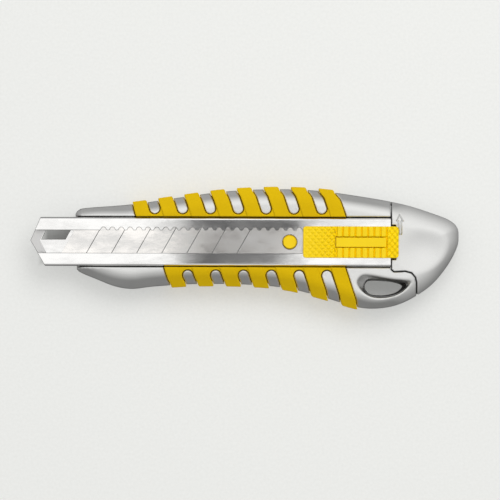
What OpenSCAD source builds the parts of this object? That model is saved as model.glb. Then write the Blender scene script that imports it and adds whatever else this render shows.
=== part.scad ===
// Snap-off utility knife: an 18 mm segmented blade runs in a steel channel that sits in a
// two-shell die-cast handle with moulded rubber grips. A thumb slider moves the blade, and the
// rear cap slides off sideways to reach the spare blades.
// The knife lies flat: blade tip towards -X, rear cap towards +X, spine towards +Y and the
// slider on top. The origin is the centre of its footprint, on the surface it lies on.

/* [Handle] */
// Thickness of the metal handle, front face to back face
handle_t = 15.6; // [15.4:0.1:16]
// How far the rubber grips stand out from the metal
grip_proud = 1; // [0.8:0.1:1.2]
// Depth of the recess that the rubber sits in
grip_recess = 0.6; // [0.4:0.1:0.8]
// Wall thickness of the castings
wall = 2; // [1.8:0.1:2.2]
// Width of the slots between the rubber fingers
window_w = 4.2; // [3.6:0.1:4.6]

/* [Blade and channel] */
// Width of the blade, cutting edge to spine
blade_w = 18; // [17.9:0.1:18]
// Thickness of the blade
blade_t = 0.5; // [0.4:0.05:0.6]
// Distance between two score lines
segment = 10; // [9:0.5:10]
// Thickness of the channel's steel
steel_t = 0.6; // [0.6:0.05:0.7]
// Outside width of the channel
channel_w = 19.5; // [19.5:0.1:19.7]
// Width of the slot between the channel's lips
slot_w = 9.1; // [9.1:0.1:9.4]
// Distance between two notches of the ratchet
tooth_pitch = 3.55; // [3.5:0.01:3.56]
// Number of notches that the slider passes over its travel
travel_teeth = 23; // [20:1:23]

/* [Slider] */
// Length of the thumb pad
pad_l = 38.1; // [37:0.1:38.5]
// Width of the thumb pad
pad_w = 12.6; // [12:0.1:13]
// Height of the thumb pad above its underside
pad_h = 3.3; // [3:0.1:3.6]
// Distance between two cross ribs
rib_pitch = 2.5; // [2.4:0.1:2.6]

/* [Rear cap] */
// Gap between the cap and the handle
cap_gap = 0.6; // [0.5:0.1:0.7]
// Wall thickness of the cap
cap_wall = 1.5; // [1.4:0.1:1.6]

/* [Hidden] */
// Lengthwise stations of the handle with its cap:
// [x, belly y, spine y, how far the faces fall below the flat face]
STATIONS = [
    [-67, -7.7, 12.9, 0.6],
    [-66.4, -9, 14.5, 0.2],
    [-65, -10.1, 15.5, 0],
    [-59, -12.6, 16.1, 0],
    [-53, -14.9, 16.6, 0],
    [-49, -16.1, 17, 0],
    [-44.5, -16.4, 17.4, 0],
    [-39.5, -16, 18.1, 0],
    [-32, -15, 19.2, 0],
    [-21, -14.5, 20.9, 0],
    [-10, -14.3, 22.3, 0],
    [0.5, -14.5, 23.2, 0],
    [12, -15.2, 23.6, 0],
    [24, -17.4, 23.3, 0],
    [36, -20.8, 22.2, 0],
    [46, -23.7, 20.8, 0],
    [52, -24, 19.8, 0],
    [56.5, -23.6, 19, 0],
    [61.5, -22, 18.1, 0],
    [65, -20.4, 17.2, 0],
    [68, -18.5, 16.4, 0],
    [71, -16.6, 15.4, 0],
    [74, -14.3, 14.4, 0],
    [77.5, -10.8, 13.1, 0],
    [80.5, -6.9, 11.9, 0.2],
    [83, -3.1, 10.5, 0.8],
    [84.6, 0.2, 8.8, 2],
    [85.5, 3.6, 6.8, 4],
];
// Outline of the rear cap, cut from the same body
CAP_REGION = [
    [58.7, 40], [58.7, -8.2], [59.6, -9], [64.2, -8.8], [66.8, -9.5],
    [68.4, -11.4], [68.9, -13.6], [69, -18], [69, -40], [100, -40], [100, 40],
];
mid_z = grip_proud + handle_t / 2;
half_t = handle_t / 2;
// Sloping long edges: how far they reach in across the face, and down the side
spine_slope = [4.2, 3.3];
belly_slope = [5.2, 4.1];
// Profile of a sloping edge from the side to the face, as shares of those two sizes
SLOPE = [[0, 1], [0.08, 0.76], [0.7, 0.13], [1, 0]];
nose_x = -45;
BIG = 200;
TINY = 0.01;

// Rubber grips: outlines, how far the fingers lean, and the round ends of the windows
SPINE_AREA = [[-42.7, 12.35], [-47.3, 27], [35.6, 27], [40.7, 12.35]];
BELLY_AREA = [[-32.3, -7.35], [-24.9, -27], [46.7, -27], [40.3, -7.35]];
grip_reach = [-53, 52];
strip_proud = grip_proud / 2;
lean = 18.4;
window_r = window_w / 2;
window_pitch = 11.1;
lane_w = window_w + 0.7;
SPINE_WINDOWS = [for (k = [0:6]) [-35.9 + window_pitch * k, 15.8]];
BELLY_WINDOWS = [for (k = [0:5]) [-22.6 + window_pitch * k, -10.9]];

// Lanyard eye: outline of the recess in each face, and of the hole through it
EYE_RECESS = [
    [44.9, -13.6], [45.3, -12.3], [46.3, -11.1], [47.8, -10.5], [50, -10.6], [56.4, -11.8],
    [61.5, -12.3], [65.3, -12.6], [66.4, -13.2], [66.4, -14.1], [64.8, -15.8], [62.1, -17.8],
    [59.2, -19.1], [55.4, -19.9], [51.6, -19.7], [48.7, -18.5], [46.3, -16.4],
];
EYE_HOLE = [
    [48.4, -15.3], [48.9, -13.8], [50.3, -13.1], [54.4, -13.1], [58.3, -13.4], [61.2, -14.2],
    [62.3, -15.2], [62, -16.1], [60.7, -17], [58.3, -18], [55.4, -18.5], [52.5, -18.5],
    [50.3, -18.1], [48.9, -16.9],
];

// Castings: where their skin and their hollow end, and the depth of the eye's recess
cast_end = 71;
hollow_reach = [-66.4, 61.5];
hollow_front = -64;
eye_depth = 1.6;
tray_ribs = [-36, 4, 44];
tray_rib_w = 1.5;

// Channel
axis_y = 2.5;
channel_top = mid_z + half_t + 0.2;
channel_h = 3.5;
channel_floor = channel_top - channel_h;
channel_front = -85.5;
channel_rear = 58.4;
channel_hi = axis_y + channel_w / 2;
channel_lo = axis_y - channel_w / 2;
slot_hi = axis_y + slot_w / 2;
lip_under = channel_top - steel_t;
floor_top = channel_floor + steel_t;
bend_r = 1;
// Nose of the channel: a chevron with its apex ahead of the upper side
apex_y = 2.9;
nose_hi_x = -81.4;
nose_lo_x = -79.6;
// Ratchet notches
first_notch = -56.3;
notches = 28;
NOTCH = [
    [-1.25, -1], [-1.25, 0], [-0.75, 0.9], [-0.35, 1.2],
    [0.35, 1.2], [0.75, 0.9], [1.25, 0], [1.25, -1],
];
FLOOR_WINDOW = [[-81, 3.4], [-71.6, 3.4], [-68.5, 9], [-78.4, 9]];

// Blade
blade_top = lip_under - 0.2;
blade_z = blade_top - blade_t;
blade_tail = 24;
blade_tip = -75.6;
tip_lean = 0.566;
segments = 7;
bevel_w = 2.3;
blade_lo = axis_y - blade_w / 2;
score_w = 0.24;
score_depth = 0.08;
stud_x = 18;
stud_r = 2.5;
stud_hole_r = 2.85;

// Carrier and pad
carrier_z = floor_top + 0.2;
run_gap = 0.35;
foot_w = 17.4;
arm_w = 8;
arm_front = 12.5;
pad_x = 23.3;
pad_z = channel_top + 0.3;
pad_shift = 1;
nib_x = first_notch + travel_teeth * tooth_pitch;
neck_front = 24.7;
neck_rear = 57;
guide_x = [28, 54];
guide_w = 7.8;
guide_h = 1.8;
pad_inset = 0.15;
pad_corner = 1;
knurl_edge = 0.3;
knurl_l = [12.6, 4.1];
knurl_drop = [0.3, 0.2];
rib_h = 0.9;
rib_t = 1.8;
rib_w = 4.2;
strip_w = 4;
strip_drop = 0.5;
ribs = 8;
first_rib = 37.9;
spring_t = 0.35;
// Lock spring: centre line from its fixed end to the nib and the free end
SPRING_LINE = [
    [50, 5.6], [31, 5.9], [nib_x + 1.1, 6.6], [nib_x + 0.3, 7.75],
    [nib_x - 0.3, 7.75], [nib_x - 0.6, 6.8],
];

// Trough under the channel, cast in the front shell
trough_under = channel_floor - 1.6;
trough_lo = channel_lo - 2;
trough_hi = channel_hi + 2;

// Magazine for spare blades
tray_x = [-44, 56.2];
tray_wall = 1.2;
tray_w = blade_w + 0.4 + 2 * tray_wall;
tray_top = trough_under;
tray_h = 6.6;
spares = 4;
stack_pitch = blade_t + 0.02;
stack_z = tray_top - tray_h + tray_wall;
stack_shift = 33;
leaf_r = 445;
leaf_t = 0.3;
leaf_l = 68;
leaf_w = 10;
mouth_z = [mid_z - 2.7, mid_z + 1.9];

// Screws and rivets
SCREWS = [[-57, 2.5], [-38, -11.3], [28, -12.6], [50, 15.4]];
RIVETS = [-50, 0, 44];
boss_r = 2.3;
shank_r = 1.3;
head_r = 2.4;
head_h = 1.4;
head_floor = grip_proud + 1.6;
rivet_r = 1.2;
rivet_head_r = 2.1;

// Rear end and cap
end_x = 58.1;
end_wall = 1.8;
rail_y = [-5.5, 13.8];
rail_end = 63.2;
rail_h = [2.9, 4.3];
bead_w = 1.4;
bead_h = 0.8;
fit_gap = 0.3;
tongue_h = [-2.6, 1.6];
cap_front = 52;
dish_r = 72;
dish_depth = 0.5;
DISH = [73.2, 0.9];
ARROW_AT = [61.9, 10.7];
ARROW = [[0, 3.2], [1.5, 0.2], [0.75, 0.2], [0.75, -5.2], [-0.75, -5.2], [-0.75, 0.2], [-1.5, 0.2]];
arrow_line = 0.35;
CAP_SCREW = [69.5, 3];
cap_shank_r = 1.1;
cap_shank_top = mid_z - 1.2;
cap_head_r = 2;
cap_head_z = [grip_proud + 0.15, grip_proud + 0.8];

// Catch between the cap and the front rail: a bowed leaf whose bump clicks into a notch
catch_x = 59.8;
catch_y = 4;
catch_w = 3;
catch_l = 12;
catch_r = 24;
catch_t = 0.3;
catch_top = mid_z + 2.75;
bump_r = 0.55;
catch_notch_r = 0.8;

$fn = 48;

// ---- Handle skin -------------------------------------------------------------------------

// One sloping edge of the section at a station: points from the side up to the face
function edge(y, dir, slope, face) =
    [for (p = SLOPE) [y - dir * slope[0] * p[0], face - slope[1] * p[1]]];

// Slope that fits the space beside the channel at the nose, and the cap's narrow end
function fit_slope(slope, room) = slope * min(1, max(room, 0.3) / slope[0]);

// Room for the slope at a station
function room(s, grow, beside) =
    s[0] < nose_x ? beside - 0.3 + grow : (s[2] - s[1]) / 2 + grow - 0.1;

// Upper half of a station's section, from the belly over the face to the spine: [y, height]
function half_section(s, grow) =
    let (
        lo = s[1] - grow,
        hi = s[2] + grow,
        face = half_t - s[3] + grow,
        belly = edge(lo, -1, fit_slope(belly_slope, room(s, grow, channel_lo - s[1])), face),
        spine = edge(hi, 1, fit_slope(spine_slope, room(s, grow, s[2] - channel_hi)), face)
    )
    concat(belly, [for (i = [3:-1:0]) spine[i]]);

function mirrored(section) = [for (i = [len(section) - 1:-1:0]) [section[i][0], -section[i][1]]];

// A station's ring of points: the upper half closed on the mid-plane, or the whole section
function ring(s, grow, whole) =
    let (top = half_section(s, grow))
    let (flat = whole ? mirrored(top) : [[s[2] + grow, 0], [s[1] - grow, 0]])
    [for (p = concat(top, flat)) [s[0], p[0], mid_z + p[1]]];

// A closed solid through rings that all have the same number of points
module loft(rings) {
    n = len(rings[0]);
    last = len(rings) - 1;
    sides = [
        for (i = [0:last - 1], j = [0:n - 1])
            let (a = i * n + j, b = i * n + (j + 1) % n)
            each [[a, b, b + n], [a, b + n, a + n]]
    ];
    caps = [[for (j = [n - 1:-1:0]) j], [for (j = [0:n - 1]) last * n + j]];
    polyhedron(points = [for (r = rings) each r], faces = concat(sides, caps), convexity = 6);
}

// The handle's skin above its mid-plane, or whole, moved outwards by grow
module skin(grow = 0, whole = false, from = -BIG, to = BIG)
    loft([for (s = STATIONS) if (s[0] >= from && s[0] <= to) ring(s, grow, whole)]);

// Flips a front-half shape to the back of the handle
module to_back()
    translate([0, 0, 2 * mid_z]) mirror([0, 0, 1]) children();

module block(x, y, z)
    translate([x[0], y[0], z[0]]) cube([x[1] - x[0], y[1] - y[0], z[1] - z[0]]);

module slab(z = [-BIG, BIG])
    translate([0, 0, z[0]]) linear_extrude(z[1] - z[0]) children();

// ---- Grips -------------------------------------------------------------------------------

// Slots with a round end, leaning with the fingers; side is 1 towards the spine
module windows(places, side)
    for (p = places)
        translate(p) {
            circle(window_r);
            rotate(side > 0 ? lean : 180 + lean)
                translate([-window_r, 0])
                    square([window_w, 16]);
        }

// The lanes between the raised fingers, in line with the windows
module lanes(places)
    for (p = places)
        translate(p)
            rotate(lean)
                translate([-lane_w / 2, -20])
                    square([lane_w, 40]);

// Plan of a grip's lower strip, open at the windows
module strip_plan(side)
    difference() {
        polygon(side > 0 ? SPINE_AREA : BELLY_AREA);
        windows(side > 0 ? SPINE_WINDOWS : BELLY_WINDOWS, side);
    }

// Plan of a grip's raised fingers
module finger_plan(side)
    difference() {
        polygon(side > 0 ? SPINE_AREA : BELLY_AREA);
        lanes(side > 0 ? SPINE_WINDOWS : BELLY_WINDOWS);
    }

// Rubber on the front half of the handle, from the seat in the casting outwards
module grip(side)
    difference() {
        union() {
            intersection() {
                skin(grip_proud, from = grip_reach[0], to = grip_reach[1]);
                slab() finger_plan(side);
            }
            intersection() {
                skin(strip_proud, from = grip_reach[0], to = grip_reach[1]);
                slab() strip_plan(side);
            }
        }
        skin(-grip_recess);
    }

module front_spine_grip() color("gold") grip(1);
module front_belly_grip() color("gold") grip(-1);
module back_spine_grip() color("gold") to_back() grip(1);
module back_belly_grip() color("gold")
    difference() {
        to_back() grip(-1);
        // Hole over the shell screw
        slab() translate(SCREWS[2]) circle(head_r + 0.8);
    }

// ---- Castings ----------------------------------------------------------------------------

// Outside of one casting: full thickness between the rubber, thinner under it
module cast_skin()
    difference() {
        union() {
            difference() {
                skin(0, to = cast_end);
                slab() strip_plan(1);
                slab() strip_plan(-1);
            }
            skin(-grip_recess, to = cast_end);
        }
        slab() offset(delta = cap_gap) polygon(CAP_REGION);
        slab([mid_z + half_t - eye_depth, BIG]) polygon(EYE_RECESS);
        slab() polygon(EYE_HOLE);
    }

// Solid columns that stay inside the hollow castings: screw bosses and the eye's wall
module columns() {
    for (p = SCREWS)
        translate(p) circle(boss_r);
    translate([43, -30]) square([30, 21]);
}

// Hollow of one casting; the columns stay
module cast_hollow()
    difference() {
        intersection() {
            skin(-wall, from = hollow_reach[0], to = hollow_reach[1]);
            block([hollow_front, end_x - end_wall], [-BIG, BIG], [0, BIG]);
        }
        slab() columns();
    }

// Opening that the magazine is filled through, between two heights
module mouth(z)
    block([end_x - 3, end_x + TINY], [trough_lo + 0.3, trough_hi - 0.3], z);

// Rail that the cap hooks on: a plate with a bead along its end
module rail() {
    block([end_x - 2, rail_end], rail_y, [mid_z + rail_h[0], mid_z + rail_h[1]]);
    block([rail_end - bead_w, rail_end], rail_y, [mid_z + rail_h[0], mid_z + rail_h[1] + bead_h]);
}

// How far a screw reaches above the mid-plane: less under the channel than in the lobes
function screw_reach(p) = abs(p[1] - axis_y) < 1 ? channel_floor - mid_z - 0.5 : 5;

module front_shell() color("silver")
    difference() {
        union() {
            cast_skin();
            rail();
        }
        difference() {
            cast_hollow();
            block([-BIG, BIG], [trough_lo, trough_hi], [trough_under, BIG]);
        }
        // Groove for the channel, open at the nose and at the rear
        block([-BIG, channel_rear + TINY], [channel_lo, channel_hi], [channel_floor, BIG]);
        mouth([mid_z - TINY, mouth_z[1]]);
        for (p = SCREWS)
            translate([p[0], p[1], mid_z - TINY]) cylinder(r = shank_r, h = screw_reach(p));
        for (x = RIVETS)
            translate([x, axis_y, trough_under - 1]) cylinder(r = rivet_r, h = 4);
        // Notch that the cap's catch clicks into
        translate([end_x, catch_y, mid_z + rail_h[0]])
            rotate([0, 90, 0]) cylinder(r = catch_notch_r, h = 8);
    }

module back_shell() color("silver")
    difference() {
        to_back() union() {
            cast_skin();
            rail();
        }
        difference() {
            to_back() cast_hollow();
            // Ribs that the magazine tray rests on
            for (x = tray_ribs)
                block([x, x + tray_rib_w], [-BIG, BIG], [-BIG, tray_top - tray_h]);
        }
        mouth([mouth_z[0], mid_z + TINY]);
        for (p = SCREWS)
            translate([p[0], p[1], -1]) {
                cylinder(r = shank_r + 0.2, h = BIG);
                cylinder(r = head_r + 0.3, h = head_floor + 1);
            }
    }

// ---- Channel and fasteners ---------------------------------------------------------------

// Rectangle with round corners, standing on the origin's axis
module rounded(w, h, r) {
    translate([r - w / 2, 0]) square([w - 2 * r, h]);
    translate([-w / 2, r]) square([w, h - 2 * r]);
    for (x = [r - w / 2, w / 2 - r], y = [r, h - r]) translate([x, y]) circle(r);
}

// Extrudes a (y, z) profile along X
module along_x(x)
    translate([x[0], 0, 0]) rotate([90, 0, 90]) linear_extrude(x[1] - x[0]) children();

module blade_channel() color("gainsboro")
    difference() {
        along_x([channel_front, channel_rear]) difference() {
            translate([axis_y, channel_floor]) rounded(channel_w, channel_h, bend_r);
            translate([axis_y, floor_top])
                rounded(channel_w - 2 * steel_t, channel_h - 2 * steel_t, bend_r - steel_t);
            translate([axis_y - slot_w / 2, lip_under - 1]) square([slot_w, 3]);
        }
        // Chevron nose
        slab() polygon([
            [channel_front - 5, channel_hi + 5], [nose_hi_x + 2.1, channel_hi + 5],
            [nose_hi_x, channel_hi], [channel_front, apex_y], [nose_lo_x, channel_lo],
            [nose_lo_x + 2.9, channel_lo - 5], [channel_front - 5, channel_lo - 5],
        ]);
        // Window in the floor behind the chevron
        slab([0, floor_top + 0.1]) polygon(FLOOR_WINDOW);
        for (k = [0:notches - 1])
            translate([first_notch + k * tooth_pitch, slot_hi, lip_under - 0.1])
                linear_extrude(steel_t + 1) polygon(NOTCH);
        for (x = RIVETS)
            rivet_head(x);
    }

module rivet_head(x)
    translate([x, axis_y, channel_floor]) cylinder(r1 = rivet_r, r2 = rivet_head_r, h = steel_t);

module channel_rivets() color("darkgray")
    for (x = RIVETS) {
        rivet_head(x);
        translate([x, axis_y, trough_under]) cylinder(r = rivet_r, h = channel_floor - trough_under);
    }

// Cross for a screwdriver, upwards from z
module cross_recess(z, depth)
    for (a = [0, 90])
        rotate(a) translate([-1.3, -0.3, z]) cube([2.6, 0.6, depth]);

module shell_screws() color("dimgray")
    for (p = SCREWS)
        translate([p[0], p[1], 0]) difference() {
            union() {
                translate([0, 0, head_floor - head_h]) cylinder(r = head_r, h = head_h);
                translate([0, 0, head_floor])
                    cylinder(r = shank_r, h = mid_z + screw_reach(p) - head_floor - 0.3);
            }
            cross_recess(head_floor - head_h - 1, 1.8);
        }

// ---- Magazine ----------------------------------------------------------------------------

module magazine_tray() color("dimgray")
    difference() {
        block(tray_x, [axis_y - tray_w / 2, axis_y + tray_w / 2], [tray_top - tray_h, tray_top]);
        block(
            [tray_x[0] + tray_wall, BIG],
            [axis_y - tray_w / 2 + tray_wall, axis_y + tray_w / 2 - tray_wall],
            [stack_z, tray_top - tray_wall]
        );
    }

// Sharp-edged profile of a blade, (y, z), edge towards -Y
module blade_profile()
    polygon([
        [blade_lo, blade_t / 2], [blade_lo + bevel_w, 0], [blade_lo + blade_w, 0],
        [blade_lo + blade_w, blade_t], [blade_lo + bevel_w, blade_t],
    ]);

// Blade lying on z = 0 with its leaning front and the hole for the stud
module plain_blade()
    intersection() {
        along_x([blade_tip, blade_tail]) blade_profile();
        slab([-1, 1]) difference() {
            polygon([
                [blade_tip, blade_lo], [blade_tip + tip_lean * blade_w, blade_lo + blade_w],
                [blade_tail, blade_lo + blade_w], [blade_tail, blade_lo],
            ]);
            translate([stud_x, axis_y]) circle(stud_hole_r);
        }
    }

module spare_blades() color("lightsteelblue")
    for (k = [0:spares - 1])
        translate([stack_shift, 0, stack_z + k * stack_pitch]) plain_blade();

// Bowed leaf that holds the spare blades down
module magazine_spring() color("slategray")
    translate([0, axis_y + leaf_w / 2, stack_z + spares * stack_pitch + leaf_r])
        rotate([90, 0, 0]) linear_extrude(leaf_w) intersection() {
            difference() {
                circle(leaf_r, $fn = 720);
                circle(leaf_r - leaf_t, $fn = 720);
            }
            translate([-leaf_l / 2, -leaf_r - 1]) square([leaf_l, 4]);
        }

// ---- Slider ------------------------------------------------------------------------------

module snap_off_blade() color("lightsteelblue")
    difference() {
        translate([0, 0, blade_z]) plain_blade();
        // Score lines on the upper face
        for (k = [1:segments])
            translate([blade_tip + k * segment, blade_lo, blade_top - score_depth])
                rotate(-atan(tip_lean))
                    translate([-score_w / 2, -2, 0]) cube([score_w, 26, 1]);
    }

module blade_carrier() color("gold")
    difference() {
        union() {
            // Foot behind the blade, neck in the slot and guide inside the pad
            block(
                [blade_tail + 0.3, neck_rear + 0.6],
                [axis_y - foot_w / 2, axis_y + foot_w / 2], [carrier_z, lip_under - 0.2]
            );
            block(
                [neck_front, neck_rear],
                [axis_y - slot_w / 2 + run_gap, axis_y + slot_w / 2 - run_gap],
                [carrier_z, pad_z - pad_inset]
            );
            block(
                guide_x, [axis_y - guide_w / 2, axis_y + guide_w / 2],
                [carrier_z, pad_z + guide_h]
            );
            // Arm under the blade, with the stud that holds it
            block(
                [arm_front, blade_tail + 1], [axis_y - arm_w / 2, axis_y + arm_w / 2],
                [carrier_z, blade_z]
            );
            translate([stud_x, axis_y, carrier_z])
                cylinder(r = stud_r, h = channel_top - 0.3 - carrier_z);
        }
        // Pocket for the lock spring and its nib
        block([nib_x - 2.2, 51], [5, 8.6], [carrier_z + 0.6, BIG]);
        // Grooves that hold the pad down
        for (side = [-1, 1])
            translate([26, axis_y + side * guide_w / 2 - 0.6, pad_z + 0.5]) cube([30, 1.2, 0.8]);
    }

// Strip of even thickness along a list of points
module strip(points, t)
    for (i = [0:len(points) - 2])
        hull() {
            translate(points[i]) circle(d = t, $fn = 12);
            translate(points[i + 1]) circle(d = t, $fn = 12);
        }

module lock_spring() color("slategray")
    slab([carrier_z + 0.8, pad_z - pad_inset]) strip(SPRING_LINE, spring_t);

// Plan of the pad with its small corner radius, at a distance inside its edge
module pad_plan(inset = 0) {
    r = pad_corner;
    w = pad_w - 2 * inset;
    l = pad_l - 2 * inset;
    translate([pad_x + inset + r, axis_y - w / 2]) square([l - 2 * r, w]);
    translate([pad_x + inset, axis_y - w / 2 + r]) square([l, w - 2 * r]);
    for (x = [pad_x + inset + r, pad_x + inset + l - r], y = [-1, 1])
        translate([x, axis_y + y * (w / 2 - r)]) circle(r);
}

// Raised part of the pad between two places along it, a little below the tops of the ribs
module knurled(along, drop)
    slab([pad_z + 1, pad_z + pad_h - drop]) intersection() {
        pad_plan(knurl_edge);
        translate([pad_x + along[0], axis_y - pad_w]) square([along[1] - along[0], 2 * pad_w]);
    }

module thumb_pad() color("yellow")
    difference() {
        union() {
            slab([pad_z, pad_z + pad_h - rib_h]) pad_plan();
            knurled([0, knurl_l[0]], knurl_drop[0]);
            knurled([pad_l - knurl_l[1], pad_l], knurl_drop[1]);
            // Two rows of cross ribs beside a smooth strip
            for (k = [0:ribs - 1], side = [-1, 1])
                translate([
                    first_rib + k * rib_pitch - rib_t / 2,
                    axis_y + side * rib_w - rib_w / 2,
                    pad_z + 1
                ]) cube([rib_t, rib_w, pad_h - 1]);
            translate([first_rib - rib_t / 2, axis_y - strip_w / 2, pad_z + 1])
                cube([ribs * rib_pitch, strip_w, pad_h - 1 - strip_drop]);
        }
        // Hollow that the carrier's guide fills, with room for the pad to shift
        block(
            [guide_x[0] - pad_shift - 0.3, guide_x[1] + pad_shift + 0.3],
            [axis_y - guide_w / 2 - fit_gap, axis_y + guide_w / 2 + fit_gap],
            [-1, pad_z + guide_h + fit_gap]
        );
    }

// ---- Rear cap ----------------------------------------------------------------------------

// Inside of the cap: open towards the handle, and downwards where the rails leave it
module cap_hollow()
    intersection() {
        skin(-cap_wall, whole = true, from = cap_front);
        slab() polygon([[50, 30], [50, -20], [64.2, -20], [64.2, -7.2], [74, -7.2], [74, 30]]);
    }

// Hole on the cap screw's axis, from the back up to a height
module cap_screw_hole(r, top)
    translate([CAP_SCREW[0], CAP_SCREW[1], -1]) cylinder(r = r, h = top + 1);

module rear_cap() color("silver")
    difference() {
        intersection() {
            skin(0, whole = true, from = cap_front);
            slab() polygon(CAP_REGION);
        }
        cap_hollow();
        // Relief for the slider's tail
        block([58, 60.4], [axis_y - 6.9, axis_y + 6.9], [mid_z + half_t - 0.8, BIG]);
        // Shallow dish for the thumb
        translate([DISH[0], DISH[1], mid_z + half_t - dish_depth + dish_r]) sphere(dish_r, $fn = 360);
        // Arrow that shows which way the cap slides off
        translate(ARROW_AT) slab([mid_z + half_t - 0.3, BIG]) difference() {
            polygon(ARROW);
            offset(delta = -arrow_line) polygon(ARROW);
        }
        cap_screw_hole(cap_shank_r + 0.2, mid_z);
        cap_screw_hole(cap_head_r + 0.2, cap_head_z[1]);
    }

// Slot for one rail, open downwards; inner is its height above the mid-plane
module rail_slot(inner) {
    block(
        [50, rail_end + fit_gap], [-BIG, rail_y[1] + fit_gap],
        [mid_z + inner, mid_z + rail_h[1] + fit_gap]
    );
    block(
        [rail_end - bead_w - fit_gap, rail_end + fit_gap], [-BIG, rail_y[1] + fit_gap],
        [mid_z + rail_h[1], mid_z + rail_h[1] + bead_h + fit_gap]
    );
}

module cap_guide() color("dimgray")
    difference() {
        intersection() {
            cap_hollow();
            block([59.1, 73.9], [-8.6, BIG], [-BIG, BIG]);
        }
        rail_slot(tongue_h[1]);
        to_back() rail_slot(-tongue_h[0]);
        cap_screw_hole(cap_shank_r, cap_shank_top + 0.2);
    }

module cap_screw() color("dimgray")
    translate([CAP_SCREW[0], CAP_SCREW[1], 0]) difference() {
        union() {
            translate([0, 0, cap_head_z[0]]) cylinder(r = cap_head_r, h = cap_head_z[1] - cap_head_z[0]);
            translate([0, 0, cap_head_z[1]]) cylinder(r = cap_shank_r, h = cap_shank_top - cap_head_z[1]);
        }
        cross_recess(cap_head_z[0] - 1, 1.4);
    }

module cap_catch_spring() color("slategray")
    translate([catch_x, catch_y, catch_top - catch_r])
        rotate([90, 0, 90]) linear_extrude(catch_w) {
            intersection() {
                difference() {
                    circle(catch_r, $fn = 180);
                    circle(catch_r - catch_t, $fn = 180);
                }
                translate([-catch_l / 2, 0]) square([catch_l, 2 * catch_r]);
            }
            translate([0, catch_r - 0.05]) circle(bump_r);
        }

front_shell();
back_shell();
blade_channel();
channel_rivets();
front_spine_grip();
front_belly_grip();
back_spine_grip();
back_belly_grip();
shell_screws();
magazine_tray();
spare_blades();
magazine_spring();
blade_carrier();
lock_spring();
snap_off_blade();
thumb_pad();
rear_cap();
cap_guide();
cap_screw();
cap_catch_spring();
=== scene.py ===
import math

import bmesh
import bpy
import numpy as np
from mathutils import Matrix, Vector

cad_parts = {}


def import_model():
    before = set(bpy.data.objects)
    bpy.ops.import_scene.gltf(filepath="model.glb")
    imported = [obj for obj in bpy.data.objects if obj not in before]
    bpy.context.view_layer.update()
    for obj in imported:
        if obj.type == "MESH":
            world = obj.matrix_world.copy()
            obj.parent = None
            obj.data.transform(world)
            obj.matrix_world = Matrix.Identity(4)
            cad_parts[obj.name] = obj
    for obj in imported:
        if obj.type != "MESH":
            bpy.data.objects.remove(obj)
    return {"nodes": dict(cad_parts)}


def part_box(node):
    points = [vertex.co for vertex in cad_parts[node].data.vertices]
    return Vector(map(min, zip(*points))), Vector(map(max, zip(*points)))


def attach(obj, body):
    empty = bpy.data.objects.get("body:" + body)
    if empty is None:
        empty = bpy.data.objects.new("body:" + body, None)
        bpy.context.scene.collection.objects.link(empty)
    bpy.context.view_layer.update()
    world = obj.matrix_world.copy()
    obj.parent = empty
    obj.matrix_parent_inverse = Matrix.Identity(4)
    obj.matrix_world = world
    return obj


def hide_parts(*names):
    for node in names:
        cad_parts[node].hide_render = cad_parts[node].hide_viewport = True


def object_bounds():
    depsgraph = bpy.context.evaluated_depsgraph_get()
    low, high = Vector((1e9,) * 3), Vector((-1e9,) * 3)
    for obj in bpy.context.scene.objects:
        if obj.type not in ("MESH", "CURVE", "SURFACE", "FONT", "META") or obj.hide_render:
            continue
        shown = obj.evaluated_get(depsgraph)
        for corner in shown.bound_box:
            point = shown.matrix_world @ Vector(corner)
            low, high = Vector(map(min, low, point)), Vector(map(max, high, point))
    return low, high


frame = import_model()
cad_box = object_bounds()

MM = 0.001
NODES = frame["nodes"]


# ---- Places, in millimetres, worked out from the frame -----------------------------------


def corners(node):
    """A node's lowest and highest corner in millimetres."""
    low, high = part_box(node)
    return np.array(low) / MM, np.array(high) / MM


shell_low, shell_high = corners("front_shell")
channel_low, channel_high = corners("blade_channel")
pad_low, pad_high = corners("thumb_pad")
cap_low, cap_high = corners("rear_cap")
# The plane where the two castings meet, and the front face
MID_Z = shell_low[2]
FACE_Z = shell_high[2]
HALF_T = FACE_Z - MID_Z
# The rubber stands out from the metal by this much
PROUD = corners("front_spine_grip")[1][2] - FACE_Z
# Middle line of the channel, the blade and the pad
AXIS_Y = (channel_low[1] + channel_high[1]) / 2

# Handle with its cap, seen from above: the points that the outline passes through, from
# the nose along the spine to the tail, and back along the belly
SPINE_LINE = [
    (-66.3, 15), (-63, 15.9), (-45, 17.4), (-25, 20.3), (-8, 22.6), (10, 23.55), (28, 23.1),
    (46, 20.8), (63, 17.7), (76, 13.7), (82, 11.2), (84.8, 8.5), (85.4, 5),
]
BELLY_LINE = [
    (84.7, 0.3), (80.9, -6.9), (74.8, -14.3), (67.3, -19.6), (60, -22.8), (52, -24), (44, -23.2),
    (30, -19.1), (16, -15.8), (0, -14.5), (-20, -14.4), (-36, -15.4), (-45, -16.4),
    (-52, -15.3), (-59, -12.6), (-64.6, -10.3),
]
NOSE_LINE = [(-66.6, -9), (-67, -7.4), (-67, 3), (-67.5, 12.4), (-67.3, 13.8)]
CAP_LINE = [
    (58.7, 40), (58.7, -8.2), (59.6, -9), (64.2, -8.8), (66.8, -9.5),
    (68.4, -11.4), (68.9, -13.6), (69, -18), (69, -40), (100, -40), (100, 40),
]
CAP_GAP = 0.45
# The long edges slope away from the faces: how wide and how deep, and the slope's roundings
SPINE_SLOPE, BELLY_SLOPE = (4.0, 3.0), (5.2, 3.8)
SLOPE_TOP_R, CAP_TOP_R, SIDE_R = 1.4, 3.2, 0.15
WALL, CAP_WALL = 2, 1.5

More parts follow.
